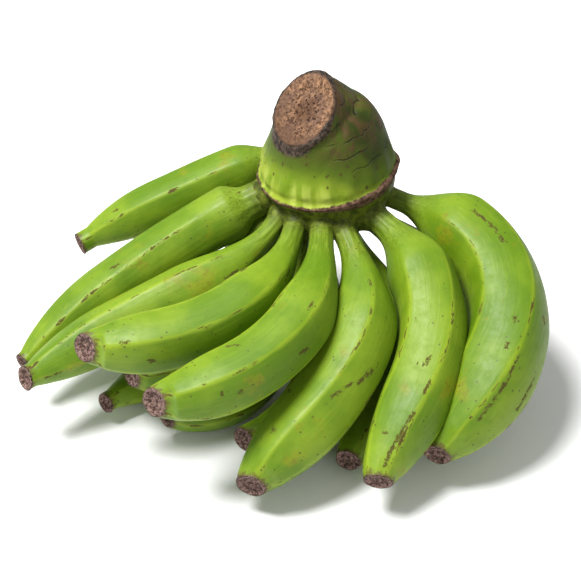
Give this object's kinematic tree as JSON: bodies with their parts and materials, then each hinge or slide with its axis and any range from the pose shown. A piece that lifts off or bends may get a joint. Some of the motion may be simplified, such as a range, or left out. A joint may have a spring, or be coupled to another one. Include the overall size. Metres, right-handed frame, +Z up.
{
  "type": "hand of green plantains",
  "caption": "Hand of green cooking plantains: two rows of curved, blunt-ended fingers growing from one thick piece of cut stalk.",
  "frame": {"origin": "middle of the bounding box's bottom face, on the surface that the hand lies on", "axes": "+Z up. +X is along the hand's longest extent, towards the end with the largest finger. -Y is the side that the finger tips point to."},
  "size_m": [0.324, 0.2363, 0.1884],
  "materials": {
    "peel": "satin",
    "stalk": "satin"
  },
  "bodies": {
    "root": {"stalk": "stalk", "upper_finger_1": "peel", "upper_finger_2": "peel", "upper_finger_3": "peel", "upper_finger_4": "peel", "upper_finger_5": "peel", "upper_finger_6": "peel", "upper_finger_7": "peel", "upper_finger_8": "peel", "lower_finger_1": "peel", "lower_finger_2": "peel", "lower_finger_3": "peel", "lower_finger_4": "peel", "lower_finger_5": "peel", "lower_finger_6": "peel"}
  },
  "joints": []
}
